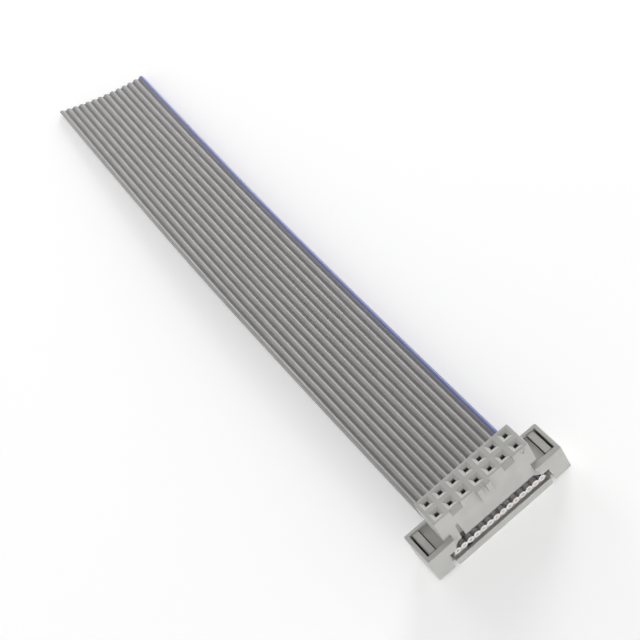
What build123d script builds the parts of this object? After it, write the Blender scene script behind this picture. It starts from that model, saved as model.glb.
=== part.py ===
from build123d import *
import math
import os

# A flat cable crimped into a two-row insulation-displacement socket.
# Millimetres, +Z up. X runs along the contact rows and +Y along the cable, away from the socket.
# The origin is the middle of the socket's underside.

# Contact grid and cable pitch
CONTACTS_PER_ROW = 7
CONTACT_PITCH = 2.54
ROW_SPACING = 2.54
WIRE_PITCH = CONTACT_PITCH / 2
WIRES = 2 * CONTACTS_PER_ROW

# Flat cable
CONDUCTOR_DIAMETER = 0.38
LOBE_DIAMETER = 1.0
WEB_THICKNESS = 0.3
CABLE_LEVEL = 2.2
CABLE_START = -2.68
CUT_SLANT = 7.75
CUT_HOLLOW = 1.05
CABLE_REACH = 136.7
SPARE_LENGTH = 6.0
ROUTE = [
    (0.0, CABLE_START, CABLE_LEVEL),
    (0.238, 42.0, 2.6),
    (1.322, 94.0, 2.19),
    (3.753, CABLE_REACH + SPARE_LENGTH, 0.52),
]

# Socket tower, which takes the mating pins from above
TOWER_TOP = 11.05
TOWER_END_WALL = 1.45
TOWER_SIDE_WALL = 1.32
TOWER_EDGE = 0.08
TOWER_CORNER = 0.15
SKIRT_HEIGHT = 4.03
SKIRT_CORNER_HEIGHT = 3.0
SKIRT_CORNER_INSET = 0.75
SKIRT_CORNER_SLOPE = 1.0
SKIRT_THICKNESS = 0.95

# Ears at the two ends of the socket, which hold the latches of the cover,
# and the sloped reliefs in the tower above their wings
EAR_LENGTH = 3.97
EAR_TOP = 5.68
EAR_FOOT = 0.33
EAR_OUTER_WALL = 0.67
EAR_FRONT_WALL = 0.92
EAR_BACK_WALL = 0.69
EAR_PROUD = 0.66
EAR_CORNER = 0.3
EAR_EDGE = 0.2
EAR_LEG_TOP = 3.55
EAR_LEG_INSET = 0.6
EAR_LEG_DRAFT = 0.3
EAR_WING = 1.2
EAR_WING_SLOPE = 0.45
SILL_TOP = 5.2
SILL_FOOT = 2.75
SILL_LENGTH = 1.57
LEDGE_TOP = 3.2
LEDGE_THICKNESS = 0.9
LEDGE_WIDTH = 0.3
RELIEF_LENGTH = 1.25
RELIEF_HEIGHT = 1.2
RELIEF_DEPTH = 0.55

# Cover that clamps the cable against the tower
COVER_HEIGHT = 1.44
COVER_END_WALL = 0.35
COVER_END_DRAFT = 0.2
COVER_CORNER = 0.4
SADDLE_DEPTH = 2.5
TROUGH_WIDTH = 0.63
TROUGH_DEPTH = 0.35
END_PLATE_FOOT = 0.35
LATCH_TOP = 5.58
LATCH_CHAMFER = 0.2
LATCH_HOOK = 0.2
LATCH_HOOK_HEIGHT = 0.6

# Stamped terminals
SHEET = 0.3
TINE_WIDTH = 0.55
TINE_FOOT = 0.75
TINE_POINT = 0.45
FORK_THROAT = 0.7
FORK_SHOULDER = 3.6
BODY_WIDTH = 1.7
BODY_TOP = 6.0
BARB_HEIGHT = 0.5
BARB_LEVEL = 4.7
BEAM_TOP = 9.3
BEAM_GAP = 0.84
BEAM_PINCH = 0.5
PINCH_LEVEL = 8.7

# Pin entries in the top of the tower
ENTRY_WIDTH = 1.76
ENTRY_DEPTH = 0.23
ENTRY_PLATE = 0.3
PIN_HOLE = 0.72
CHAMBER_WIDTH = 1.2
CHAMBER_FOOT = 5.8
CAVITY_HEADROOM = 0.4

# Marks and recesses on the front of the tower
KEY_WIDTH = 2.4
KEY_PROUD = EAR_PROUD
KEY_LENGTH = 3.1
KEY_GROOVE_WIDTH = 0.8
KEY_GROOVE_LENGTH = 2.0
WINDOW_WIDTH = 2.05
WINDOW_HEIGHT = 1.4
WINDOW_DEPTH = 0.25
WINDOW_SPREAD = 5.0
MARK_WIDTH = 1.1
MARK_TOP_GAP = 0.25
MARK_HEIGHT = 1.1
MARK_DEPTH = 0.12
MARK_INSET = 1.3
NOTCH_OFFSET = 6.25
NOTCH_WIDTH = 1.0
NOTCH_HEIGHT = 0.85
FLUTE_WIDTH = 0.85
FLUTE_HEIGHT = 3.7
FLUTE_DEPTH = 0.4

# Clearances
CRADLE_GAP = 0.05
CLAMP_GAP = 0.05
WIRE_GAP = 0.03
SLOT_GAP = 0.1
TINE_ROOM = 0.15
CATCH_GAP = 0.02
LATCH_FLEX = 0.18
LATCH_FRONT_GAP = 0.2
LATCH_BACK_GAP = 0.04
LEDGE_GAP = 0.05

# Places that follow from the sizes above
TOWER_X = (CONTACTS_PER_ROW - 1) / 2 * CONTACT_PITCH + TOWER_END_WALL
TOWER_Y = ROW_SPACING / 2 + TOWER_SIDE_WALL
EAR_X = TOWER_X + EAR_LENGTH
EAR_Y = TOWER_Y + EAR_PROUD
POCKET_X = EAR_X - EAR_OUTER_WALL
POCKET_FRONT = -EAR_Y + EAR_FRONT_WALL
POCKET_BACK = EAR_Y - EAR_BACK_WALL
COVER_X = TOWER_X + COVER_END_WALL
LATCH_INNER = TOWER_X + SILL_LENGTH + LATCH_FLEX
LATCH_OUTER = POCKET_X - LEDGE_WIDTH - LEDGE_GAP
LATCH_FRONT = POCKET_FRONT + LATCH_FRONT_GAP
LATCH_BACK = POCKET_BACK - LATCH_BACK_GAP
LOBE_RADIUS = LOBE_DIAMETER / 2
CLAMP_LEVEL = CABLE_LEVEL + WEB_THICKNESS / 2 + CLAMP_GAP
SADDLE_LEVEL = CABLE_LEVEL - WEB_THICKNESS / 2 - CRADLE_GAP
CAVITY_HALF = BODY_WIDTH / 2 + SLOT_GAP
CAVITY_TOP = BEAM_TOP + CAVITY_HEADROOM
FORK_HALF = CONDUCTOR_DIAMETER / 2 + WIRE_GAP + TINE_WIDTH


def block(x_limits, y_limits, z_limits):
    """A box given by its two limits along each axis."""
    middle = [sum(limits) / 2 for limits in (x_limits, y_limits, z_limits)]
    size = [limits[1] - limits[0] for limits in (x_limits, y_limits, z_limits)]
    return Pos(*middle) * Box(*size)


def prism(outline, y_near, y_far):
    """A solid with a closed X-Z outline, between two places along Y."""
    face = Plane.XZ.offset(-y_far) * Polygon(*outline, align=None)
    return extrude(face, y_far - y_near, dir=(0, -1, 0))


def channel(outline, x_near, x_far):
    """A solid with a closed Y-Z outline, between two places along X."""
    face = Plane.YZ.offset(x_near) * Polygon(*outline, align=None)
    return extrude(face, x_far - x_near, dir=(1, 0, 0))


def both_ends(solid):
    """A solid and its mirror image at the other end of the socket."""
    return solid + mirror(solid, about=Plane.YZ)


def wire_places():
    """The X of each conductor, from the first to the last."""
    return [(index - (WIRES - 1) / 2) * WIRE_PITCH for index in range(WIRES)]


def terminal_places():
    """For each conductor, the X of its contact, the Y of its row and the X of its fork."""
    places = []
    for index, wire_x in enumerate(wire_places()):
        column = index // 2 - (CONTACTS_PER_ROW - 1) / 2
        side = 1 if index % 2 else -1
        places.append((column * CONTACT_PITCH, side * ROW_SPACING / 2, wire_x))
    return places


def cable_path():
    """Straight runs joined by tangent arcs as large as the runs allow."""
    points = [Vector(*point) for point in ROUTE]
    radii = []
    for before, corner, after in zip(points, points[1:], points[2:]):
        run_in = corner - before
        run_out = after - corner
        turn = math.radians(run_in.get_angle(run_out))
        radii.append(0.45 * min(run_in.length, run_out.length) / math.tan(turn / 2))
    print("cable arc radii", [round(radius) for radius in radii])
    return FilletPolyline(*points, radius=radii)


def section_plane(path):
    """The plane across the start of the cable, with its X along the row of wires."""
    return Plane(origin=path @ 0, x_dir=(1, 0, 0), z_dir=path % 0)


def cable_section():
    """Round lobes joined by a thin web, with a bore for each conductor."""
    places = wire_places()
    section = Rectangle(places[-1] - places[0], WEB_THICKNESS)
    for x in places:
        section += Pos(x, 0) * Circle(LOBE_RADIUS)
    for x in places:
        section -= Pos(x, 0) * Circle(CONDUCTOR_DIAMETER / 2)
    return section


def beyond_cut():
    """All that lies past the far end of the cable, which was cut a little askew."""
    middle_x = ROUTE[-1][0]
    half = WIRES * WIRE_PITCH / 2
    left = (middle_x - half, CABLE_REACH + CUT_HOLLOW + CUT_SLANT / 2)
    middle = (middle_x, CABLE_REACH)
    right = (middle_x + half, CABLE_REACH + CUT_HOLLOW - CUT_SLANT / 2)
    far = CABLE_REACH + CABLE_REACH / 2
    edge = ThreePointArc(left, middle, right)
    back = Polyline(right, (right[0] + half, right[1]), (right[0] + half, far),
                    (left[0] - half, far), (left[0] - half, left[1]), left)
    height = CABLE_LEVEL + LOBE_DIAMETER
    return Pos(0, 0, -height) * extrude(make_face([edge, back]), 2 * height + LOBE_DIAMETER)


def fork_cuts():
    """Where the fork of each terminal passes through the cable."""
    cuts = []
    for _, row_y, fork_x in terminal_places():
        across = (fork_x - FORK_HALF, fork_x + FORK_HALF)
        along = (row_y - SHEET / 2, row_y + SHEET / 2)
        cuts.append(block(across, along, (TINE_FOOT, FORK_SHOULDER)))
    return cuts


def make_cable():
    """The insulation in one piece and the conductors, swept along the same path."""
    path = cable_path()
    plane = section_plane(path)
    spare = beyond_cut()
    insulation = sweep(plane * cable_section(), path=path)
    swept_share = insulation.volume / (cable_section().area * path.length)
    print("cable volume over section times length", round(swept_share, 5))
    insulation = insulation - spare - fork_cuts()
    conductors = []
    for x in wire_places():
        strand_bundle = sweep(plane * Pos(x, 0) * Circle(CONDUCTOR_DIAMETER / 2), path=path)
        conductors.append(strand_bundle - spare)
    return insulation, conductors


def make_terminal(contact_x, row_y, fork_x):
    """A flat stamping: a fork that bites one wire and two beams that grip one pin."""
    wire_half = CONDUCTOR_DIAMETER / 2 + WIRE_GAP
    throat = CABLE_LEVEL + FORK_THROAT
    body = BODY_WIDTH / 2
    fork = [
        (fork_x - FORK_HALF, FORK_SHOULDER),
        (fork_x - FORK_HALF, TINE_FOOT + TINE_POINT),
        (fork_x - FORK_HALF + TINE_WIDTH / 2, TINE_FOOT),
        (fork_x - wire_half, TINE_FOOT + TINE_POINT),
        (fork_x - wire_half, throat),
        (fork_x + wire_half, throat),
        (fork_x + wire_half, TINE_FOOT + TINE_POINT),
        (fork_x + FORK_HALF - TINE_WIDTH / 2, TINE_FOOT),
        (fork_x + FORK_HALF, TINE_FOOT + TINE_POINT),
        (fork_x + FORK_HALF, FORK_SHOULDER),
    ]
    half_profile = [
        (0, FORK_SHOULDER),
        (body, FORK_SHOULDER),
        (body, BARB_LEVEL),
        (body + SLOT_GAP, BARB_LEVEL + BARB_HEIGHT),
        (body, BARB_LEVEL + BARB_HEIGHT),
        (body, BEAM_TOP),
        (BEAM_GAP / 2, BEAM_TOP),
        (BEAM_PINCH / 2, PINCH_LEVEL),
        (BEAM_GAP / 2, BODY_TOP + BEAM_GAP / 2),
        (0, BODY_TOP),
    ]
    right = [(contact_x + x, z) for x, z in half_profile]
    left = [(contact_x - x, z) for x, z in half_profile]
    y_limits = (row_y - SHEET / 2, row_y + SHEET / 2)
    return prism(fork, *y_limits) + prism(right, *y_limits) + prism(left, *y_limits)


def terminal_cavity(contact_x, row_y, fork_x):
    """The room in the tower for one terminal, its fork and the pin that it takes."""
    slot = (row_y - SHEET / 2 - SLOT_GAP, row_y + SHEET / 2 + SLOT_GAP)
    across = (contact_x - CAVITY_HALF, contact_x + CAVITY_HALF)
    fork_across = (fork_x - FORK_HALF - SLOT_GAP, fork_x + FORK_HALF + SLOT_GAP)
    plate_top = TOWER_TOP - ENTRY_DEPTH
    plate_foot = plate_top - ENTRY_PLATE
    hole = Pos(contact_x, row_y, (plate_top + plate_foot) / 2) * Box(PIN_HOLE, PIN_HOLE, ENTRY_PLATE)
    chamber_height = plate_foot - CHAMBER_FOOT
    chamber = Pos(contact_x, row_y, CHAMBER_FOOT + chamber_height / 2)
    chamber *= Box(CHAMBER_WIDTH, CHAMBER_WIDTH, chamber_height)
    entry_floor = Plane(origin=(contact_x, row_y, plate_top))
    entry_mouth = entry_floor.offset(ENTRY_DEPTH)
    entry = loft([entry_floor * Rectangle(PIN_HOLE, PIN_HOLE),
                  entry_mouth * Rectangle(ENTRY_WIDTH, ENTRY_WIDTH)])
    cavity = block(across, slot, (FORK_SHOULDER, CAVITY_TOP))
    cavity += block(fork_across, slot, (CLAMP_LEVEL - LOBE_RADIUS, FORK_SHOULDER))
    return cavity + chamber + hole + entry


def make_tower():
    """The block that holds the contacts, with a skirt over the cable at its front and back."""
    tower = block((-TOWER_X, TOWER_X), (-TOWER_Y, TOWER_Y), (CLAMP_LEVEL, TOWER_TOP))
    tower = fillet(tower.edges().filter_by(Axis.Z), TOWER_CORNER)
    tower = chamfer(tower.faces().sort_by(Axis.Z)[-1].edges(), TOWER_EDGE)
    slope_top = TOWER_X - SKIRT_CORNER_INSET - SKIRT_CORNER_SLOPE
    slope_foot = TOWER_X - SKIRT_CORNER_INSET
    half_mouth = [
        (0, 0),
        (TOWER_X, 0),
        (TOWER_X, SKIRT_CORNER_HEIGHT),
        (slope_foot, SKIRT_CORNER_HEIGHT),
        (slope_top, SKIRT_HEIGHT),
        (0, SKIRT_HEIGHT),
    ]
    mouth = both_ends(prism(half_mouth, TOWER_Y - SKIRT_THICKNESS, TOWER_Y))
    return tower - mouth - mirror(mouth, about=Plane.XZ)


def lobe_grooves(gap):
    """A round groove over each lobe of the cable, across the whole depth of the socket."""
    grooves = []
    for x in wire_places():
        axis = Plane(origin=(x, -EAR_Y, CABLE_LEVEL), z_dir=(0, 1, 0))
        grooves.append(extrude(axis * Circle(LOBE_RADIUS + gap), 2 * EAR_Y))
    return grooves


def make_ear():
    """The right ear: a pocket for the latch, between a sill and the ledge that it hooks over."""
    outline = [
        (TOWER_X - EAR_WING, EAR_TOP),
        (TOWER_X - EAR_WING + EAR_WING_SLOPE, EAR_LEG_TOP),
        (TOWER_X + EAR_LEG_INSET, EAR_LEG_TOP),
        (TOWER_X + EAR_LEG_INSET + EAR_LEG_DRAFT, EAR_FOOT),
        (EAR_X, EAR_FOOT),
        (EAR_X, EAR_TOP),
    ]
    ear = prism(outline, -EAR_Y, EAR_Y)
    corners = ear.edges().filter_by(Axis.Z).filter_by_position(Axis.X, EAR_X, EAR_X)
    ear = fillet(corners, EAR_CORNER)
    rim = ear.faces().sort_by(Axis.Z)[-1].edges().sort_by(Axis.X)[1:]
    ear = fillet(rim, EAR_EDGE)
    height = (EAR_FOOT, EAR_TOP)
    along = (POCKET_FRONT, POCKET_BACK)
    ear -= block((TOWER_X - EAR_WING, TOWER_X), (-TOWER_Y, TOWER_Y), height)
    ear -= block((TOWER_X, POCKET_X), along, height)
    sill = block((TOWER_X, TOWER_X + SILL_LENGTH), along, (SILL_FOOT, SILL_TOP))
    ledge = block((POCKET_X - LEDGE_WIDTH, POCKET_X), along, (LEDGE_TOP - LEDGE_THICKNESS, LEDGE_TOP))
    return ear + sill + ledge


def make_key():
    """The polarising key on the front of the tower, with a groove that runs out down its middle."""
    foot = TOWER_TOP - KEY_LENGTH
    front = -TOWER_Y - KEY_PROUD
    back = -TOWER_Y + TOWER_EDGE
    key = block((-KEY_WIDTH / 2, KEY_WIDTH / 2), (front, back), (foot, TOWER_TOP))
    key = chamfer(key.faces().sort_by(Axis.Z)[0].edges().sort_by(Axis.Y)[0], KEY_PROUD / 4)
    groove = [
        (front, TOWER_TOP - KEY_GROOVE_LENGTH),
        (-TOWER_Y, TOWER_TOP),
        (front, TOWER_TOP),
    ]
    return key - channel(groove, -KEY_GROOVE_WIDTH / 2, KEY_GROOVE_WIDTH / 2)


def front_recesses():
    """The two ramped windows, the triangle over the first contact and the fluted notch."""
    face = -TOWER_Y
    window = [
        (face, TOWER_TOP - WINDOW_HEIGHT),
        (face + WINDOW_DEPTH, TOWER_TOP),
        (face, TOWER_TOP),
    ]
    right_window = channel(window, WINDOW_SPREAD - WINDOW_WIDTH / 2, WINDOW_SPREAD + WINDOW_WIDTH / 2)
    mark_x = TOWER_X - MARK_INSET
    mark_top = TOWER_TOP - MARK_TOP_GAP
    triangle = [
        (mark_x - MARK_WIDTH / 2, mark_top),
        (mark_x, mark_top - MARK_HEIGHT),
        (mark_x + MARK_WIDTH / 2, mark_top),
    ]
    notch = [
        (-NOTCH_OFFSET - NOTCH_WIDTH / 2, SKIRT_HEIGHT),
        (-NOTCH_OFFSET, SKIRT_HEIGHT + NOTCH_HEIGHT),
        (-NOTCH_OFFSET + NOTCH_WIDTH / 2, SKIRT_HEIGHT),
    ]
    flute_foot = Plane(origin=(-NOTCH_OFFSET, face, SKIRT_HEIGHT))
    flute_end = flute_foot.offset(FLUTE_HEIGHT)
    flute = loft([flute_foot * Rectangle(FLUTE_WIDTH, 2 * FLUTE_DEPTH),
                  flute_end * Rectangle(FLUTE_WIDTH / 2, 0.02)])
    recesses = both_ends(right_window) + prism(triangle, face, face + MARK_DEPTH)
    return recesses + prism(notch, face, face + SKIRT_THICKNESS) + flute


def ear_reliefs():
    """A sloped relief in the tower above each wing of the ears, deepest at the wing."""
    face = -TOWER_Y
    wedge = [(face, EAR_TOP), (face + RELIEF_DEPTH, EAR_TOP), (face, EAR_TOP + RELIEF_HEIGHT)]
    front = both_ends(channel(wedge, TOWER_X - RELIEF_LENGTH, TOWER_X))
    return front + mirror(front, about=Plane.XZ)


def make_housing():
    """The upper moulding: tower, two ears and the key, in one piece."""
    housing = make_tower() + both_ends(make_ear()) + make_key()
    housing -= front_recesses()
    housing -= ear_reliefs()
    housing -= lobe_grooves(CLAMP_GAP)
    for place in terminal_places():
        housing -= terminal_cavity(*place)
    return housing


def make_latch():
    """The right end plate of the cover, and its arm with a hook that faces outwards."""
    catch = LEDGE_TOP + CATCH_GAP
    outline = [
        (COVER_X - COVER_END_WALL, END_PLATE_FOOT),
        (LATCH_OUTER, END_PLATE_FOOT),
        (LATCH_OUTER, catch),
        (LATCH_OUTER + LATCH_HOOK, catch),
        (LATCH_OUTER, catch + LATCH_HOOK_HEIGHT),
        (LATCH_OUTER, LATCH_TOP - LATCH_CHAMFER),
        (LATCH_OUTER - LATCH_CHAMFER, LATCH_TOP),
        (LATCH_INNER, LATCH_TOP),
        (LATCH_INNER, COVER_HEIGHT),
        (COVER_X - COVER_END_WALL, COVER_HEIGHT),
    ]
    return prism(outline, LATCH_FRONT, LATCH_BACK)


def make_cover():
    """The lower moulding: a bar with a saddle for the cable, and a latch at each end."""
    half_bar = [
        (0, 0),
        (COVER_X - COVER_END_DRAFT, 0),
        (COVER_X, COVER_HEIGHT),
        (0, COVER_HEIGHT),
    ]
    bar = both_ends(prism(half_bar, -EAR_Y, EAR_Y))
    lower_ends = bar.edges().filter_by(Axis.Y).sort_by(Axis.Z)[:2]
    bar = fillet(lower_ends, COVER_CORNER)
    saddle = (-SADDLE_DEPTH, SADDLE_DEPTH)
    trough = block((-TOWER_X, TOWER_X), (SADDLE_DEPTH, SADDLE_DEPTH + TROUGH_WIDTH),
                   (COVER_HEIGHT - TROUGH_DEPTH, COVER_HEIGHT))
    cover = bar + block((-TOWER_X, TOWER_X), saddle, (COVER_HEIGHT, SADDLE_LEVEL))
    cover -= trough + mirror(trough, about=Plane.XZ)
    cover += both_ends(make_latch())
    cover -= lobe_grooves(CRADLE_GAP)
    for _, row_y, fork_x in terminal_places():
        across = (fork_x - FORK_HALF - SLOT_GAP, fork_x + FORK_HALF + SLOT_GAP)
        along = (row_y - SHEET / 2 - SLOT_GAP, row_y + SHEET / 2 + SLOT_GAP)
        cover -= block(across, along, (TINE_FOOT - TINE_ROOM, CABLE_LEVEL))
    return cover


def write_part(name, shape):
    """Write one sub-part to its own STEP file."""
    shape.label = name
    export_step(shape, os.path.join("parts", name + ".step"))


def main():
    os.makedirs("parts", exist_ok=True)
    write_part("housing", make_housing())
    write_part("cover", make_cover())
    for number, place in enumerate(terminal_places(), start=1):
        write_part(f"terminal_{number:02d}", make_terminal(*place))
    insulation, conductors = make_cable()
    write_part("ribbon_insulation", insulation)
    for number, conductor in enumerate(conductors, start=1):
        write_part(f"conductor_{number:02d}", conductor)


main()
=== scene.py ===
"""The finish of a flat ribbon cable and its two-row socket, laid out as a Blender add-on."""
import math
from bisect import bisect_left

import bpy
from bpy.props import FloatProperty, FloatVectorProperty, PointerProperty
from bpy.types import Operator, Panel, PropertyGroup
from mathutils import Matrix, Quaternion, Vector


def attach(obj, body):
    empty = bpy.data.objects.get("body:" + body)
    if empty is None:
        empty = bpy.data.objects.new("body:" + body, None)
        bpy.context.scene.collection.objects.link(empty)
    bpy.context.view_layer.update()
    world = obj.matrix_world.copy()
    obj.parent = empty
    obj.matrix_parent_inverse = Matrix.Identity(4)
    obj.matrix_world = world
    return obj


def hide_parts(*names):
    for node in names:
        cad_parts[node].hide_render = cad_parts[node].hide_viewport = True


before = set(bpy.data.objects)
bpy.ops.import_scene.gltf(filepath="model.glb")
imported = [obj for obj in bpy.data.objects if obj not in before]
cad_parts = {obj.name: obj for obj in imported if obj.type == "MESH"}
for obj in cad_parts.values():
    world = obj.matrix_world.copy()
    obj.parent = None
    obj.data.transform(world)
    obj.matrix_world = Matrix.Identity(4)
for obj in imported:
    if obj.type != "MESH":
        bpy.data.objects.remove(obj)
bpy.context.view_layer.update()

bl_info = {
    "name": "Ribbon cable assembly",
    "version": (1, 0, 0),
    "blender": (4, 5, 0),
    "location": "3D View > Sidebar > Ribbon cable",
    "description": "Builds the cable and its wires and finishes the socket",
    "category": "Object",
}

MM = 0.001
BODY = "root"

# The cable's route, in metres: the middle of the row of wires, from the socket to the far end.
ROUTE = [
    (0.0, -0.00268, 0.0022),
    (0.000238, 0.042, 0.0026),
    (0.001322, 0.094, 0.00219),
    (0.003753, 0.1427, 0.00052),
]
# How far the route runs on past the cable's middle at the cut.
SPARE_LENGTH = 6.0 * MM
# How far the burr reaches into the socket, behind the cut.
BURR_LENGTH = 0.16 * MM

# Where the printed line starts, in wire pitches from the cable's middle, and how soft its edge is
PRINT_START = 6.3
PRINT_BLUR = 0.12 * MM

# Divisions of the meshes
ARC_STEPS = 12
WEB_STEPS = 4
JACKET_ROWS = 72
STRANDS = 7
STRAND_SIDES = 8
STRAND_ROWS = 96
PATH_STEPS = 60

# Edges sharper than these angles stay sharp
JACKET_CREASE = math.radians(35)
STRAND_CREASE = math.radians(50)

# Thickness of a strand against the third of the bundle that it may fill
STRAND_CLEARANCE = 0.98

# The two windows at the top of the socket's front, and how dark the shade painted on their floors
# is
WINDOW_MIDDLE = 5.0 * MM
WINDOW_HALF = 1.0 * MM
WINDOW_FOOT = 9.68 * MM
WINDOW_BACK = -2.335 * MM
WINDOW_SHADE_TONE = 0.72

# The flute above the notch in the skirt, where shade is painted: its place, the heights over which
# the painted shade of its upper and its lower part fades out, and how dark the lower part is
FLUTE_OFFSET = 6.25 * MM
FLUTE_HALF = 0.45 * MM
FLUTE_FACE = -2.585 * MM
FLUTE_BACK = -1.6 * MM
FLUTE_TOP = (7.4 * MM, 8.0 * MM)
FLUTE_FOOT = (4.5 * MM, 5.0 * MM)
FLUTE_SHADE_TONE = 0.15

# The grooves between the lobes, where shade is painted: darkest up to the first height above the
# cable's middle, and no darker than the lobes from the second one
GROOVE_FLOOR = 0.15 * MM
GROOVE_EDGE = 0.34 * MM
GROOVE_SHADE_TONE = 0.78
GROOVE_SHADE_SHARE = 0.75

# Light of the tent's walls and of the slope above them: at the sides, how much less behind,
# and the sines of the heights over which they fade out
TENT_WALL = 3.16
TENT_WALL_FALL = 0.78
TENT_WALL_TOP = (0.0, 0.4)
TENT_SLOPE = 0.83
TENT_SLOPE_FALL = 0.11
TENT_SLOPE_TOP = (0.5, 0.9)

# The two lamps: name, place in metres and power in watts, then their side and their aim
SOFTBOXES = (
    ("right_softbox", (1.38, 1.39, 0.416), 23.0),
    ("back_softbox", (0.0, 1.97, 0.416), 11.0),
)
SOFTBOX_SIZE = 0.78
SOFTBOX_AIM = (0.0, 0.01, 0.0)

# The wires and their terminals, numbered along +X: the last wire carries the printed line
WIRES = [f"conductor_{number:02d}" for number in range(1, 15)]
TERMINALS = [f"terminal_{number:02d}" for number in range(1, 15)]


# ---------------------------------------------------------------------------
# Settings
# ---------------------------------------------------------------------------

class CableSettings(PropertyGroup):
    """Sizes and colours of the flat cable."""

    wire_pitch: FloatProperty(
        name="Wire pitch", description="Distance from one wire to the next",
        default=1.27 * MM, precision=5, unit="LENGTH")
    lobe_diameter: FloatProperty(
        name="Lobe diameter", description="Thickness of the insulation round a wire",
        default=1.0 * MM, precision=5, unit="LENGTH")
    web_thickness: FloatProperty(
        name="Web thickness", description="Thickness of the insulation between two wires",
        default=0.3 * MM, precision=5, unit="LENGTH")
    bundle_diameter: FloatProperty(
        name="Bundle diameter", description="Diameter of the seven strands of a wire together",
        default=0.38 * MM, precision=5, unit="LENGTH")
    lay_length: FloatProperty(
        name="Lay length", description="Length in which the strands turn once",
        default=12 * MM, precision=4, unit="LENGTH")
    cut_slant: FloatProperty(
        name="Cut slant", description="How much longer the left edge is than the right",
        default=7.75 * MM, precision=4, unit="LENGTH")
    cut_hollow: FloatProperty(
        name="Cut hollow", description="How far the middle of the cut stays behind its two ends",
        default=1.05 * MM, precision=4, unit="LENGTH")
    burr: FloatProperty(
        name="Burr", description="How much the cut in the socket spreads each lobe", default=1.24)
    grey: FloatVectorProperty(
        name="Insulation", description="Colour of the vinyl", subtype="COLOR",
        default=(0.343, 0.333, 0.330), min=0, max=1)
    # The cut face is paler than the vinyl partly because it is freshly cut and partly as painted
    # light
    cut_face_pale_and_lit: FloatVectorProperty(
        name="Cut face", description="Colour of the freshly cut vinyl", subtype="COLOR",
        default=(0.80, 0.76, 0.75), min=0, max=1)
    stripe: FloatVectorProperty(
        name="Stripe", description="Colour of the line printed on the last wire", subtype="COLOR",
        default=(0.06, 0.088, 0.33), min=0, max=1)
    tin: FloatVectorProperty(
        name="Tin", description="Colour of the tinned strands", subtype="COLOR",
        default=(0.93, 0.91, 0.88), min=0, max=1)


class SocketSettings(PropertyGroup):
    """Colours of the socket."""

    plastic: FloatVectorProperty(
        name="Moulding", description="Colour of the moulded plastic", subtype="COLOR",
        default=(0.475, 0.472, 0.452), min=0, max=1)
    contact: FloatVectorProperty(
        name="Contacts", description="Colour of the plated terminals", subtype="COLOR",
        default=(0.62, 0.60, 0.55), min=0, max=1)
    edge_radius: FloatProperty(
        name="Edge radius", description="Softness of the mouldings' edges",
        default=0.07 * MM, precision=5, unit="LENGTH")


class StageSettings(PropertyGroup):
    """Camera, floor and lamps."""

    aim: FloatVectorProperty(
        name="Aim", description="Point that the camera looks at", subtype="TRANSLATION",
        default=(0.001849, 0.050574, 0.002))
    distance: FloatProperty(
        name="Distance", description="From the aim to the camera",
        default=0.295315, precision=5, unit="LENGTH")
    azimuth: FloatProperty(
        name="Azimuth", description="Direction of the camera about the vertical",
        default=math.radians(-98.3273), subtype="ANGLE")
    elevation: FloatProperty(
        name="Elevation", description="Height of the camera above the horizon",
        default=math.radians(47.2242), subtype="ANGLE")
    roll: FloatProperty(
        name="Roll", description="Turn of the camera about its own axis",
        default=math.radians(-34.1914), subtype="ANGLE")
    lens: FloatProperty(
        name="Lens", description="Focal length on a sensor 36 mm wide", default=98.57)
    floor_size: FloatProperty(
        name="Floor size", description="Side of the floor", default=6.0, unit="LENGTH")
    floor: FloatVectorProperty(
        name="Floor colour", description="Colour of the floor", subtype="COLOR",
        default=(0.92, 0.92, 0.92), min=0, max=1)
    floor_glow: FloatProperty(
        name="Floor lift", description="Brings the unshaded floor to white for the camera",
        default=0.33)


# ---------------------------------------------------------------------------
# Shader maths
# ---------------------------------------------------------------------------

class Value:
    """A number socket that adds its own Math nodes when it is used in an expression."""

    def __init__(self, shader, socket):
        self.shader = shader
        self.socket = socket

    def _math(self, operation, first, second=None):
        inputs = {0: first} if second is None else {0: first, 1: second}
        made = self.shader.node("ShaderNodeMath", {"operation": operation}, inputs)
        return Value(self.shader, made.outputs[0])

    def __add__(self, other):
        return self._math("ADD", self, other)

    __radd__ = __add__

    def __mul__(self, other):
        return self._math("MULTIPLY", self, other)

    __rmul__ = __mul__

    def __sub__(self, other):
        return self._math("SUBTRACT", self, other)

    def __rsub__(self, other):
        return self._math("SUBTRACT", other, self)

    def size(self):
        """The value without its sign."""
        return self._math("ABSOLUTE", self)

    def greater(self, other):
        """The larger of two values."""
        return self._math("MAXIMUM", self, other)

    def fade(self, low, high):
        """1 up to low, 0 from high, and even between them."""
        inputs = {"Value": self, "From Min": low, "From Max": high, "To Min": 1.0, "To Max": 0.0}
        made = self.shader.node("ShaderNodeMapRange", None, inputs)
        return Value(self.shader, made.outputs[0])

    def ramp(self, low, high):
        """0 at low and 1 at high, and smooth between them."""
        settings = {"interpolation_type": "SMOOTHSTEP"}
        inputs = {"Value": self, "From Min": low, "From Max": high}
        made = self.shader.node("ShaderNodeMapRange", settings, inputs)
        return Value(self.shader, made.outputs[0])


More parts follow.
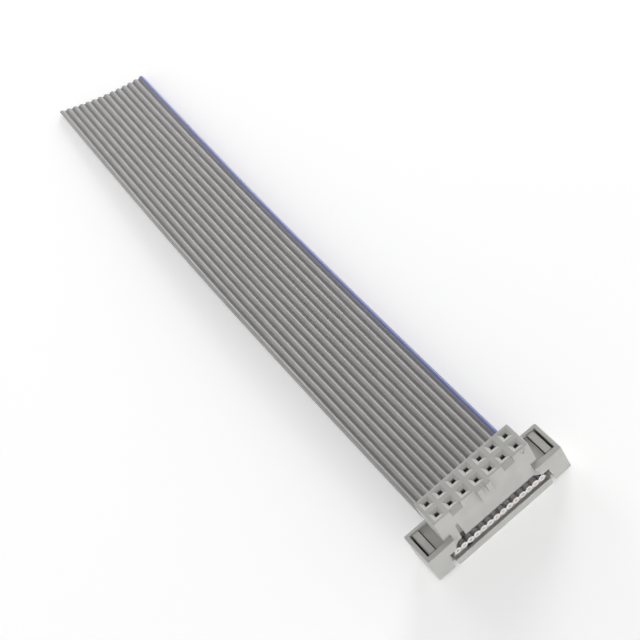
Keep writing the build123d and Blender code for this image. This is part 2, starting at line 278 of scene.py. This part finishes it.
class Shader:
    """The nodes of a material or of a world, and the one method that makes nodes."""

    def __init__(self, block):
        self.block = block
        block.use_nodes = True
        self.tree = block.node_tree
        kinds = ("BSDF_PRINCIPLED", "BACKGROUND")
        self.surface = next(node for node in self.tree.nodes if node.type in kinds)

    def node(self, kind, settings=None, inputs=None):
        """Add a node, set its settings, and then set or link its sockets."""
        made = self.tree.nodes.new(kind)
        for key, setting in (settings or {}).items():
            setattr(made, key, setting)
        self.fill(made, inputs or {})
        return made

    def fill(self, target, inputs):
        """Set or link the sockets of a node, by name or number."""
        for key, given in inputs.items():
            socket = target.inputs[key]
            if isinstance(given, Value):
                given = given.socket
            if isinstance(given, bpy.types.NodeSocket):
                self.tree.links.new(given, socket)
            else:
                socket.default_value = given

    def place(self):
        """The point on the object."""
        return self.node("ShaderNodeTexCoord").outputs["Object"]

    def attribute(self, name):
        """A vector stored on the mesh."""
        return self.node("ShaderNodeAttribute", {"attribute_name": name}).outputs["Vector"]

    def split(self, vector):
        """The three numbers of a vector."""
        parts = self.node("ShaderNodeSeparateXYZ", inputs={0: vector})
        return [Value(self, output) for output in parts.outputs]

    def noise(self, vector, scale, detail=2.0):
        """Soft noise about 0.5."""
        inputs = {"Vector": vector, "Scale": scale, "Detail": detail}
        return Value(self, self.node("ShaderNodeTexNoise", inputs=inputs).outputs[0])

    def stretched(self, vector, scale):
        """A vector with each axis scaled by itself."""
        return self.node("ShaderNodeMapping", inputs={"Vector": vector, "Scale": scale}).outputs[0]

    def seen(self):
        """1 for what the camera sees, also mirrored or through glass, and 0 for falling light."""
        path = self.node("ShaderNodeLightPath").outputs
        seen = Value(self, path["Is Camera Ray"])
        for ray in ("Is Glossy Ray", "Is Transmission Ray"):
            seen = seen.greater(Value(self, path[ray]))
        return seen

    def finish_with(self, kind, surface):
        """Join the last shader to the output."""
        output = next(node for node in self.tree.nodes if node.type == kind)
        self.fill(output, {"Surface": surface.outputs[0]})

    def mix(self, factor, first, second):
        """One colour shading into another."""
        made = self.node("ShaderNodeMix", {"data_type": "RGBA"})
        self.fill(made, {0: factor, 6: first, 7: second})
        return made.outputs[2]

    def bump(self, height, strength, distance, normal=None):
        """A normal that follows a height."""
        inputs = {"Height": height, "Strength": strength, "Distance": distance}
        if normal is not None:
            inputs["Normal"] = normal
        return self.node("ShaderNodeBump", inputs=inputs).outputs[0]


def tone(colour, factor):
    """A colour made lighter or darker, as four numbers."""
    return tuple(min(1.0, part * factor) for part in colour) + (1.0,)


def window_shade_mask(across, along, up):
    """1 on the floors of the two windows, where shade is painted."""
    mask = (across.size() - WINDOW_MIDDLE).size().fade(WINDOW_HALF, WINDOW_HALF + 0.04 * MM)
    mask *= up.ramp(WINDOW_FOOT - 0.06 * MM, WINDOW_FOOT)
    return mask * along.fade(WINDOW_BACK, WINDOW_BACK + 0.02 * MM)


def flute_shade_mask(across, along, up):
    """0.4 in the flute up to its top, and 1 just above the notch: where shade is painted."""
    mask = (across + FLUTE_OFFSET).size().fade(FLUTE_HALF, FLUTE_HALF + 0.05 * MM)
    mask *= along.ramp(FLUTE_FACE, FLUTE_FACE + 0.06 * MM)
    mask *= along.fade(FLUTE_BACK, FLUTE_BACK + 0.05 * MM)
    return mask * (0.4 * up.fade(*FLUTE_TOP) + 0.6 * up.fade(*FLUTE_FOOT))


def moulded_plastic(name, settings):
    """Satin nylon: faint flow clouds, a fine spark-eroded grain, softened edges, and painted shade
    on the window floors and in the flute.
    """
    shader = Shader(bpy.data.materials.new(name))
    place = shader.place()
    clouds = shader.noise(place, 260.0, 3.0)
    grain = shader.noise(place, 9000.0)
    base = shader.mix(
        clouds.ramp(0.35, 0.65), tone(settings.plastic, 0.96), tone(settings.plastic, 1.04))
    spot = shader.split(place)
    # Painted shade: the floors of the two windows are darkened
    base = shader.mix(window_shade_mask(*spot), base, tone(settings.plastic, WINDOW_SHADE_TONE))
    # Painted shade: the flute is darkened, and darkest just above the notch
    base = shader.mix(flute_shade_mask(*spot), base, tone(settings.plastic, FLUTE_SHADE_TONE))
    soft_edges = shader.node("ShaderNodeBevel", {"samples": 6}, {"Radius": settings.edge_radius})
    normal = shader.bump(grain, 0.25, 0.01 * MM, soft_edges.outputs[0])
    shader.fill(shader.surface, {
        "Base Color": base,
        "Roughness": 0.42 + clouds * 0.1,
        "Normal": normal,
        "Specular IOR Level": 0.45,
    })
    return shader.block


def plated_metal(name, colour, roughness):
    """Tin plate with faint rolling marks."""
    shader = Shader(bpy.data.materials.new(name))
    place = shader.place()
    marks = shader.noise(shader.stretched(place, (9000.0, 9000.0, 900.0)), 1.0)
    base = shader.mix(marks.ramp(0.3, 0.7), tone(colour, 0.9), tone(colour, 1.06))
    shader.fill(shader.surface, {
        "Base Color": base,
        "Metallic": 1.0,
        "Roughness": roughness + marks * 0.15,
    })
    return shader.block


def vinyl(name, settings):
    """Grey extruded vinyl with draw lines along it, painted shade in the grooves between the
    lobes, and a line printed on the last wire.
    """
    shader = Shader(bpy.data.materials.new(name))
    lie = shader.attribute("lie")
    across, _, up = shader.split(lie)
    mottle = shader.noise(shader.stretched(lie, (900.0, 260.0, 1.0)), 1.0, 3.0)
    lines = shader.noise(shader.stretched(lie, (16000.0, 60.0, 1.0)), 1.0)
    grain = shader.noise(shader.stretched(lie, (7000.0, 7000.0, 1.0)), 1.0)
    specks = 0.6 * grain.ramp(0.35, 0.65) + 0.4 * mottle.ramp(0.3, 0.7)
    grey = shader.mix(specks, tone(settings.grey, 0.84), tone(settings.grey, 1.16))
    # Painted shade: the vinyl is darkened in the grooves between the lobes
    groove_shade = up.size().fade(GROOVE_FLOOR, GROOVE_EDGE)
    grey = shader.mix(groove_shade * GROOVE_SHADE_SHARE, grey, tone(settings.grey, GROOVE_SHADE_TONE))
    ragged = shader.noise(shader.stretched(lie, (0.0, 900.0, 1.0)), 1.0)
    wobble = (ragged - 0.5) * PRINT_BLUR
    print_edge = PRINT_START * settings.wire_pitch
    printed = (across + wobble).ramp(print_edge - PRINT_BLUR, print_edge + PRINT_BLUR)
    cover = printed * (0.82 + 0.36 * (mottle - 0.5))
    base = shader.mix(cover, grey, tone(settings.stripe, 1.0))
    shader.fill(shader.surface, {
        "Base Color": base,
        "Roughness": 0.44 + lines * 0.12,
        "Normal": shader.bump(lines + grain * 0.4, 0.35, 0.012 * MM),
        "Specular IOR Level": 0.5,
    })
    return shader.block


def cut_vinyl(name, settings):
    """Cut vinyl, matt, with knife marks: its pale colour is partly the freshly cut face and partly
    painted light.
    """
    shader = Shader(bpy.data.materials.new(name))
    place = shader.place()
    marks = shader.noise(shader.stretched(place, (1500.0, 1500.0, 14000.0)), 1.0)
    base = shader.mix(marks.ramp(0.3, 0.7), tone(settings.cut_face_pale_and_lit, 0.88), tone(settings.cut_face_pale_and_lit, 1.08))
    shader.fill(shader.surface, {
        "Base Color": base,
        "Roughness": 0.6,
        "Normal": shader.bump(marks, 0.5, 0.02 * MM),
    })
    return shader.block


# ---------------------------------------------------------------------------
# Mesh helpers
# ---------------------------------------------------------------------------

def deselect():
    """Nothing selected and nothing active."""
    bpy.ops.object.select_all(action="DESELECT")
    bpy.context.view_layer.objects.active = None


def select(piece):
    """Only this piece selected, and active."""
    deselect()
    piece.select_set(True)
    bpy.context.view_layer.objects.active = piece


def new_piece(name, points, faces, materials, face_slots=None):
    """An object with its own mesh, at the origin."""
    mesh = bpy.data.meshes.new(name)
    mesh.from_pydata(points, [], faces)
    for material in materials:
        mesh.materials.append(material)
    if face_slots:
        mesh.polygons.foreach_set("material_index", face_slots)
    piece = bpy.data.objects.new(name, mesh)
    bpy.context.scene.collection.objects.link(piece)
    return piece


def smooth(piece, angle):
    """Smooth shading, apart from edges sharper than the angle."""
    select(piece)
    bpy.ops.object.shade_smooth_by_angle(angle=angle)
    deselect()


def finish_node(name, material):
    """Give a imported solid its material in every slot."""
    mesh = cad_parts[name].data
    for index in range(len(mesh.materials)):
        mesh.materials[index] = material
    if not mesh.materials:
        mesh.materials.append(material)


# ---------------------------------------------------------------------------
# The cable's line
# ---------------------------------------------------------------------------

def cable_line():
    """Points along the smooth line of the cable, read from its spline."""
    curve = bpy.data.curves.new("cable_line", "CURVE")
    curve.dimensions = "3D"
    curve.resolution_u = 48
    spline = curve.splines.new("NURBS")
    spline.points.add(len(ROUTE) - 1)
    for point, place in zip(spline.points, ROUTE):
        point.co = (*place, 1.0)
    spline.order_u = 3
    spline.use_endpoint_u = True
    holder = bpy.data.objects.new("cable_line", curve)
    bpy.context.scene.collection.objects.link(holder)
    mesh = bpy.data.meshes.new_from_object(holder)
    points = [vertex.co.copy() for vertex in mesh.vertices]
    bpy.data.objects.remove(holder)
    bpy.data.curves.remove(curve)
    bpy.data.meshes.remove(mesh)
    return points


class Line:
    """The cable's line measured by length, with its sideways and upward directions."""

    def __init__(self, points):
        self.points = points
        self.reach = [0.0]
        for before, after in zip(points, points[1:]):
            self.reach.append(self.reach[-1] + (after - before).length)
        self.length = self.reach[-1]

    def at(self, length):
        """The place, the side direction and the up direction at a length along the line."""
        index = min(max(bisect_left(self.reach, length), 1), len(self.reach) - 1)
        start, end = self.points[index - 1], self.points[index]
        share = (length - self.reach[index - 1]) / (self.reach[index] - self.reach[index - 1])
        ahead = (end - start).normalized()
        side = (Vector((1, 0, 0)) - ahead * ahead.x).normalized()
        return start.lerp(end, share), side, side.cross(ahead)


def cut_length(line, settings, across):
    """Length along the line at which the cut crosses the cable, at a distance from its middle."""
    half = len(WIRES) * settings.wire_pitch / 2
    share = across / half
    bend = settings.cut_hollow * share * share - settings.cut_slant / 2 * share
    return line.length - SPARE_LENGTH + bend


# ---------------------------------------------------------------------------
# The insulation's section and mesh
# ---------------------------------------------------------------------------

def lobe_angles(first, last, root):
    """Angles round one lobe, leaving out the sides where a web joins it."""
    step = (math.pi - 2 * root) / ARC_STEPS
    side = 2 * root / WEB_STEPS
    angles = [root + step * i for i in range(ARC_STEPS + 1)]
    if first:
        angles += [math.pi - root + side * i for i in range(1, WEB_STEPS)]
    angles += [math.pi + root + step * i for i in range(ARC_STEPS + 1)]
    if last:
        angles += [2 * math.pi - root + side * i for i in range(1, WEB_STEPS)]
    return angles


def lobe_rings(settings, radius):
    """The outline and the bore of each lobe, across and up from the cable's middle."""
    bore = settings.bundle_diameter / 2
    root = math.asin(settings.web_thickness / settings.lobe_diameter)
    count = len(WIRES)
    rings = []
    for number in range(count):
        middle = (number - (count - 1) / 2) * settings.wire_pitch
        angles = lobe_angles(number == 0, number == count - 1, root)
        outer = [(middle + radius * math.cos(a), radius * math.sin(a)) for a in angles]
        inner = [(middle + bore * math.cos(a), bore * math.sin(a)) for a in angles]
        rings.append((outer, inner))
    return rings


class Sleeve:
    """The faces of a section drawn along the cable: its walls in slot 0, its ends in slot 1."""

    def __init__(self, per_ring, rows):
        self.per_ring = per_ring
        self.rows = rows
        self.faces = []
        self.slots = []

    def wall(self, a, b, flip):
        """Quads along the cable between two neighbouring points of the section."""
        for row in range(self.rows):
            low = row * self.per_ring
            high = low + self.per_ring
            quad = [low + a, low + b, high + b, high + a]
            self.faces.append(quad[::-1] if flip else quad)
            self.slots.append(0)

    def cap(self, quad):
        """The same face of the section at both ends of the cable."""
        shift = self.rows * self.per_ring
        self.faces.append(quad)
        self.faces.append([index + shift for index in quad[::-1]])
        self.slots.extend((1, 1))


def jacket_points(settings, line):
    """The jacket's points, where each lies across, along and up in the cable, and its rows."""
    radius = settings.lobe_diameter / 2
    plain, pressed = (
        [point for outer, inner in lobe_rings(settings, size) for point in outer + inner]
        for size in (radius, radius * settings.burr))
    rows = [(0.0, pressed), (BURR_LENGTH / line.length, plain)]
    rows += [(row / JACKET_ROWS, plain) for row in range(1, JACKET_ROWS + 1)]
    points = []
    lie = []
    for share, section in rows:
        for across, up in section:
            length = cut_length(line, settings, across) * share
            place, side, rise = line.at(length)
            points.append(place + side * across + rise * up)
            lie.append((across, length, up))
    return points, lie, len(rows)


def jacket_faces(settings, per_ring, rows):
    """Walls, bores and ends of the lobes and of the webs between them."""
    sleeve = Sleeve(per_ring, rows - 1)
    rings = lobe_rings(settings, settings.lobe_diameter / 2)
    start = 0
    previous = None
    for number, (outer, _) in enumerate(rings):
        size = len(outer)
        outer_at = [start + i for i in range(size)]
        inner_at = [start + size + i for i in range(size)]
        start += 2 * size
        first, last = number == 0, number == len(rings) - 1
        low_start = ARC_STEPS + (WEB_STEPS if first else 1)
        left_top, left_low = outer_at[ARC_STEPS], outer_at[low_start]
        right_top, right_low = outer_at[0], outer_at[low_start + ARC_STEPS]
        for i in range(size):
            j = (i + 1) % size
            at_left_web = i == ARC_STEPS and not first
            at_right_web = outer_at[i] == right_low and not last
            if not at_left_web and not at_right_web:
                sleeve.wall(outer_at[i], outer_at[j], True)
            sleeve.wall(inner_at[i], inner_at[j], False)
            sleeve.cap([outer_at[i], outer_at[j], inner_at[j], inner_at[i]])
        if previous:
            before_top, before_low = previous
            sleeve.wall(before_top, left_top, False)
            sleeve.wall(before_low, left_low, True)
            sleeve.cap([left_top, left_low, before_low, before_top])
        previous = (right_top, right_low)
    return sleeve


# ---------------------------------------------------------------------------
# Operators
# ---------------------------------------------------------------------------

class CABLE_OT_insulation(Operator):
    """Build the insulation: fourteen lobes joined by a thin web, with a bore for each wire"""

    bl_idname = "ribbon.insulation"
    bl_label = "Insulation"

    def execute(self, context):
        settings = context.scene.ribbon_cable
        line = Line(cable_line())
        points, lie, rows = jacket_points(settings, line)
        sleeve = jacket_faces(settings, len(points) // rows, rows)
        piece = new_piece("ribbon_jacket", points, sleeve.faces,
                          [vinyl("grey_vinyl", settings), cut_vinyl("cut_vinyl", settings)],
                          sleeve.slots)
        stored = piece.data.attributes.new("lie", "FLOAT_VECTOR", "POINT")
        stored.data.foreach_set("vector", [number for place in lie for number in place])
        smooth(piece, JACKET_CREASE)
        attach(piece, BODY)
        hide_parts("ribbon_insulation")
        middle_length = cut_length(line, settings, 0.0)
        path = [line.at(middle_length * step / PATH_STEPS)[0] for step in range(PATH_STEPS + 1)]
        return {"FINISHED"}


def add_strand(points, faces, line, settings, across, reach, index):
    """Add one strand of a wire: the last one is straight, and the others turn about it."""
    radius = settings.bundle_diameter / 6 * STRAND_CLEARANCE
    offset = 0.0 if index == STRANDS - 1 else 2 * radius
    base = len(points)
    for row in range(STRAND_ROWS + 1):
        length = reach * row / STRAND_ROWS
        place, side, rise = line.at(length)
        turn = 2 * math.pi * (length / settings.lay_length + index / (STRANDS - 1))
        middle = place + side * (across + offset * math.cos(turn)) + rise * offset * math.sin(turn)
        for corner in range(STRAND_SIDES):
            angle = 2 * math.pi * corner / STRAND_SIDES
            points.append(middle + (side * math.cos(angle) + rise * math.sin(angle)) * radius)
    for row in range(STRAND_ROWS):
        low = base + row * STRAND_SIDES
        high = low + STRAND_SIDES
        for corner in range(STRAND_SIDES):
            after = (corner + 1) % STRAND_SIDES
            faces.append([low + corner, high + corner, high + after, low + after])
    top = base + STRAND_ROWS * STRAND_SIDES
    faces.append([base + corner for corner in range(STRAND_SIDES)])
    faces.append([top + corner for corner in reversed(range(STRAND_SIDES))])


class CABLE_OT_wires(Operator):
    """Build the wires: seven tinned strands each, laid in a long twist in the insulation"""

    bl_idname = "ribbon.wires"
    bl_label = "Wires"

    def execute(self, context):
        settings = context.scene.ribbon_cable
        line = Line(cable_line())
        tin = plated_metal("tinned_copper", settings.tin, 0.28)
        for number, node in enumerate(WIRES):
            across = (number - (len(WIRES) - 1) / 2) * settings.wire_pitch
            reach = cut_length(line, settings, across)
            points = []
            faces = []
            for index in range(STRANDS):
                add_strand(points, faces, line, settings, across, reach, index)
            piece = new_piece(f"strands_{number + 1:02d}", points, faces, [tin])
            smooth(piece, STRAND_CREASE)
            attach(piece, BODY)
            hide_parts(node)
        return {"FINISHED"}


class SOCKET_OT_finish(Operator):
    """Give the mouldings and the terminals their finish"""

    bl_idname = "ribbon.socket"
    bl_label = "Socket finish"

    def execute(self, context):
        settings = context.scene.ribbon_socket
        plastic = moulded_plastic("grey_moulding", settings)
        metal = plated_metal("tin_plate", settings.contact, 0.3)
        for name in ("housing", "cover"):
            finish_node(name, plastic)
        for name in TERMINALS:
            finish_node(name, metal)
        return {"FINISHED"}


def low_lamp(name, place, power):
    """A square soft lamp that stands beside the object and lights it from low down."""
    data = bpy.data.lights.new(name, "AREA")
    data.shape = "SQUARE"
    data.size = SOFTBOX_SIZE
    data.energy = power
    lamp = bpy.data.objects.new(name, data)
    lamp.location = place
    lamp.rotation_mode = "QUATERNION"
    lamp.rotation_quaternion = (Vector(SOFTBOX_AIM) - Vector(place)).to_track_quat("-Z", "Y")
    lamp.visible_camera = False
    bpy.context.scene.collection.objects.link(lamp)


class STAGE_OT_build(Operator):
    """Build the floor, the soft light and the camera"""

    bl_idname = "ribbon.stage"
    bl_label = "Stage"

    def execute(self, context):
        settings = context.scene.ribbon_stage
        scene = context.scene
        deselect()
        bpy.ops.mesh.primitive_plane_add(size=settings.floor_size, location=(0, 0, 0))
        floor = context.active_object
        floor.name = "floor"
        floor.data.materials.append(self.floor_material(settings))
        deselect()
        self.world(scene)
        for name, place, power in SOFTBOXES:
            low_lamp(name, place, power)
        self.camera(scene, settings)
        return {"FINISHED"}

    def floor_material(self, settings):
        """Pale and matt, lifted to white for the camera where nothing shades it."""
        shader = Shader(bpy.data.materials.new("pale_floor"))
        shader.fill(shader.surface, {"Base Color": tone(settings.floor, 1.0), "Roughness": 0.9,
                                     "Specular IOR Level": 0.1})
        glow = shader.node("ShaderNodeEmission", inputs={
            "Color": (1, 1, 1, 1), "Strength": settings.floor_glow})
        added = shader.node("ShaderNodeAddShader", inputs={
            0: shader.surface.outputs[0], 1: glow.outputs[0]})
        seen = shader.node("ShaderNodeMixShader", inputs={
            0: shader.seen(), 1: shader.surface.outputs[0], 2: added.outputs[0]})
        shader.finish_with("OUTPUT_MATERIAL", seen)
        return shader.block

    def world(self, scene):
        """A light tent: bright low walls, brightest in front, under a dim ceiling."""
        scene.world = bpy.data.worlds.new("light_tent")
        shader = Shader(scene.world)
        _, back, up = shader.split(shader.node("ShaderNodeTexCoord").outputs["Generated"])
        wall = up.fade(*TENT_WALL_TOP)
        slope = up.fade(*TENT_SLOPE_TOP) - wall
        light = (wall * (TENT_WALL - TENT_WALL_FALL * back)
                 + slope * (TENT_SLOPE - TENT_SLOPE_FALL * back))
        shader.fill(shader.surface, {"Color": (1, 1, 1, 1), "Strength": light})
        white = shader.node("ShaderNodeBackground", inputs={
            "Color": (1, 1, 1, 1), "Strength": 1.0})
        mixed = shader.node("ShaderNodeMixShader", inputs={
            0: shader.seen(), 1: shader.surface.outputs[0], 2: white.outputs[0]})
        shader.finish_with("OUTPUT_WORLD", mixed)

    def camera(self, scene, settings):
        """Looks down on the socket, turned about its own axis."""
        data = bpy.data.cameras.new("camera")
        data.sensor_width = 36.0
        data.lens = settings.lens
        data.clip_start = 0.01
        camera = bpy.data.objects.new("camera", data)
        scene.collection.objects.link(camera)
        scene.camera = camera
        back = Vector((math.cos(settings.elevation) * math.cos(settings.azimuth),
                       math.cos(settings.elevation) * math.sin(settings.azimuth),
                       math.sin(settings.elevation)))
        camera.location = Vector(settings.aim) + back * settings.distance
        camera.rotation_mode = "QUATERNION"
        turn = Quaternion((0, 0, 1), settings.roll)
        camera.rotation_quaternion = (-back).to_track_quat("-Z", "Y") @ turn


class RIBBON_PT_panel(Panel):
    """Lists the parts of the cable assembly"""

    bl_idname = "RIBBON_PT_panel"
    bl_label = "Ribbon cable assembly"
    bl_space_type = "VIEW_3D"
    bl_region_type = "UI"
    bl_category = "Ribbon cable"

    def draw(self, context):
        for operator in OPERATORS:
            self.layout.operator(operator.bl_idname)
        for group_name, settings in GROUPS.items():
            box = self.layout.box()
            for name in settings.__annotations__:
                box.prop(getattr(context.scene, group_name), name)


OPERATORS = (STAGE_OT_build, CABLE_OT_insulation, CABLE_OT_wires, SOCKET_OT_finish)
GROUPS = {
    "ribbon_cable": CableSettings,
    "ribbon_socket": SocketSettings,
    "ribbon_stage": StageSettings,
}


def register():
    for cls in (*GROUPS.values(), *OPERATORS, RIBBON_PT_panel):
        bpy.utils.register_class(cls)
    for name, cls in GROUPS.items():
        setattr(bpy.types.Scene, name, PointerProperty(type=cls))


def unregister():
    for name in GROUPS:
        delattr(bpy.types.Scene, name)
    for cls in reversed((*GROUPS.values(), *OPERATORS, RIBBON_PT_panel)):
        bpy.utils.unregister_class(cls)


def main():
    register()
    bpy.context.scene.view_settings.view_transform = "Standard"
    bpy.ops.ribbon.stage()
    bpy.ops.ribbon.insulation()
    bpy.ops.ribbon.wires()
    bpy.ops.ribbon.socket()


if __name__ == "__main__":
    main()
